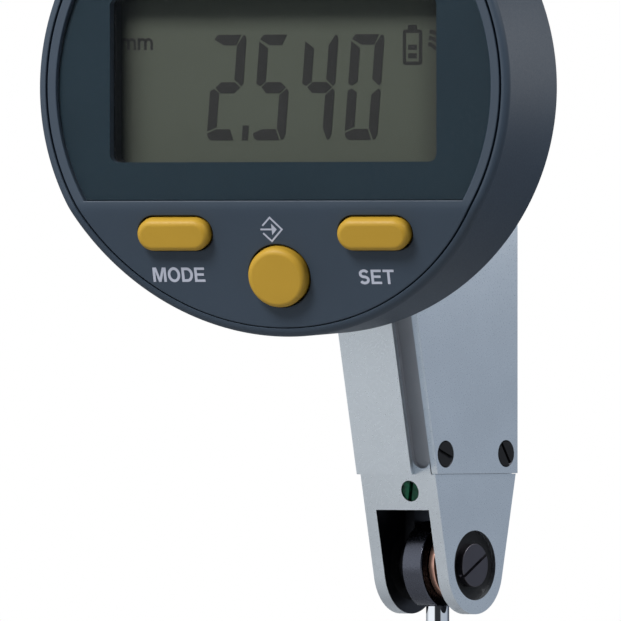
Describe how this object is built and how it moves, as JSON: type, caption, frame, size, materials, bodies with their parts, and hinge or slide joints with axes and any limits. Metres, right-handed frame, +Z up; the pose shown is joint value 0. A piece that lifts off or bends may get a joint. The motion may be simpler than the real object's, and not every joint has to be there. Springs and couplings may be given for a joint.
{
  "type": "digital test indicator",
  "caption": "Lever-type digital test indicator: round display head with buttons on a dovetailed metal body with a forked, pivoted stylus.",
  "frame": {"origin": "on the outer face of the front dovetail, on its centre line, 21.2 mm above the stylus pivot", "axes": "+Z up along the body, -Y out of the body's front, +X to the right"},
  "size_m": [0.0455, 0.0452, 0.0777],
  "materials": {
    "satin_chrome": "satin chromed steel",
    "black_steel": "blackened steel",
    "dark_steel": "dark hardened steel",
    "green_lacquer": "green locking lacquer",
    "slate_plastic": "fine matt moulded surface",
    "yellow_plastic": "matt",
    "window_glass": "clear, polished",
    "mask_print": "printed, dark blue green",
    "display_film": "reflective grey green",
    "white_plastic": "moulded",
    "black_plastic": "moulded",
    "seal_rubber": "matt",
    "board_laminate": "green lacquered laminate",
    "bright_steel": "turned",
    "polished_chrome": "polished",
    "carbide": "lapped",
    "copper": "bright copper",
    "movement_brass": "fine turned",
    "jewel": "polished synthetic ruby",
    "cable_jacket": "smooth"
  },
  "bodies": {
    "body": {"body_frame": "satin_chrome", "right_side_cover": "satin_chrome", "left_side_cover": "satin_chrome", "cover_screws": "black_steel", "fork_set_screw": "green_lacquer", "right_bearing_ring": "black_steel", "left_bearing_ring": "black_steel", "right_pivot_screw": "dark_steel", "left_pivot_screw": "dark_steel", "swivel_tube": "bright_steel", "swivel_washers": "bright_steel", "encoder_stator": "board_laminate", "left_bridge": "movement_brass", "right_bridge": "movement_brass", "jewel_bearings": "jewel", "hairspring": "movement_brass", "hairspring_stud": "movement_brass", "signal_cable": "cable_jacket"},
    "head": {"head_housing": "slate_plastic", "face_plate": "slate_plastic", "face_seal": "seal_rubber", "display_window": "window_glass", "window_mask": "mask_print", "display_cell": "display_film", "display_holder": "black_plastic", "display_diffuser": "white_plastic", "connector_strips": "seal_rubber", "main_board": "board_laminate", "processor_chip": "black_plastic", "radio_module": "bright_steel", "keypad_mat": "seal_rubber", "keypad_board": "black_plastic", "coin_cell": "bright_steel", "negative_contact": "bright_steel", "positive_contact": "bright_steel", "cap_seal": "seal_rubber", "housing_screws": "bright_steel", "swivel_knuckle": "bright_steel", "knuckle_screws": "bright_steel", "head_lead": "cable_jacket"},
    "mode_button": {"mode_button": "yellow_plastic"},
    "set_button": {"set_button": "yellow_plastic"},
    "data_button": {"data_button": "yellow_plastic"},
    "battery_cap": {"battery_cap": "black_plastic"},
    "lever": {"lever_arbor": "bright_steel", "measuring_lever": "bright_steel", "clutch_plate": "dark_steel", "friction_washer": "copper", "spring_washer": "bright_steel", "clutch_nut": "movement_brass"},
    "encoder": {"encoder_pinion": "movement_brass", "encoder_rotor": "board_laminate"},
    "stylus": {"stylus_drum": "dark_steel", "stylus_stem": "polished_chrome", "stylus_ball": "carbide"}
  },
  "joints": [
    {"name": "head_swivel", "type": "hinge", "parent": "body", "child": "head", "pos_m": [0, -0.0031, 0.013], "axis": [0, 0, 1], "range_deg": [-61.1, 28.9]},
    {"name": "mode_press", "type": "slide", "parent": "head", "child": "mode_button", "axis": [-0.2655, 0.9198, 0.289], "range_m": [0, 0.0004], "stiffness_N_per_m": 1800, "springref_m": -0.0003},
    {"name": "set_press", "type": "slide", "parent": "head", "child": "set_button", "axis": [-0.2655, 0.9198, 0.289], "range_m": [0, 0.0004], "stiffness_N_per_m": 1800, "springref_m": -0.0003},
    {"name": "data_press", "type": "slide", "parent": "head", "child": "data_button", "axis": [-0.2655, 0.9198, 0.289], "range_m": [0, 0.0004], "stiffness_N_per_m": 1800, "springref_m": -0.0003},
    {"name": "battery_cap_turn", "type": "hinge", "parent": "head", "child": "battery_cap", "pos_m": [0.00139, -0.0079, 0.0297], "axis": [-0.2773, 0.9608, 0], "range_deg": [0, 60]},
    {"name": "lever_swing", "type": "hinge", "parent": "body", "child": "lever", "pos_m": [0, 0.01095, -0.02119], "axis": [1, 0, 0], "range_deg": [-2.5, 2.5], "stiffness_Nm_per_rad": 0.03},
    {"name": "stylus_set", "type": "hinge", "parent": "lever", "child": "stylus", "pos_m": [0, 0.01095, -0.02119], "axis": [1, 0, 0], "range_deg": [-105, 105]},
    {"name": "encoder_turn", "type": "hinge", "parent": "body", "child": "encoder", "pos_m": [0, 0.01095, -0.00166], "axis": [1, 0, 0], "range_deg": [-31, 31]}
  ],
  "couplings": [
    {"joint": "encoder_turn", "follows": "lever_swing", "ratio": -12}
  ]
}
